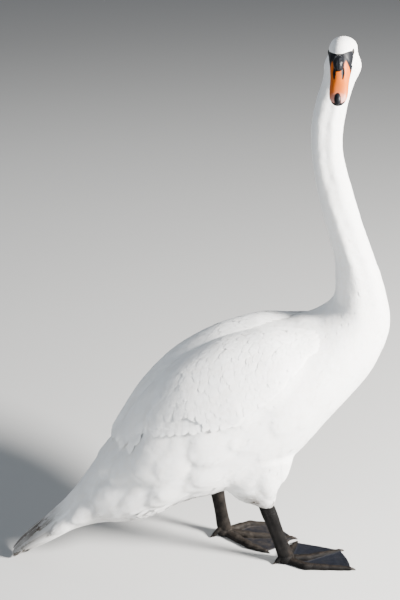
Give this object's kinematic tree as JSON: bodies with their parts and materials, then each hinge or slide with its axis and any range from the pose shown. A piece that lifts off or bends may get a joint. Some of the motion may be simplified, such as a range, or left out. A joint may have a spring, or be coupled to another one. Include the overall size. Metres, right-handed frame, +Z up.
{
  "type": "mute swan",
  "caption": "Life-size still model of an adult mute swan standing upright on webbed feet, wings folded, tail lowered to the floor and head turned to its right.",
  "frame": {"origin": "middle of the bounding box, at the level of the soles", "axes": "+X the way the body faces (breast), +Y the bird's left, +Z up"},
  "size_m": [0.7616, 0.3064, 1.0721],
  "materials": {
    "plumage": "white contour feathers, matt and slightly warm",
    "bill": "orange horn, satin",
    "horn": "black horn, satin",
    "eye": "dark brown, wet and glossy",
    "leg": "grey-black scaled skin"
  },
  "bodies": {
    "root": {"tail": "plumage", "trunk": "plumage", "neck_base": "plumage", "neck_lower": "plumage", "neck_middle": "plumage", "neck_upper": "plumage", "wing_left": "plumage", "wing_right": "plumage", "head": "plumage", "thigh_right": "plumage", "thigh_left": "plumage", "bill_upper": "bill", "bill_lower": "horn", "bill_knob": "horn", "bill_nail": "horn", "eye_left": "eye", "eye_right": "eye", "tarsus_right": "leg", "foot_right": "leg", "tarsus_left": "leg", "foot_left": "leg", "claw_inner_right": "horn", "claw_middle_right": "horn", "claw_outer_right": "horn", "claw_hind_right": "horn", "claw_inner_left": "horn", "claw_middle_left": "horn", "claw_outer_left": "horn", "claw_hind_left": "horn"}
  },
  "joints": []
}
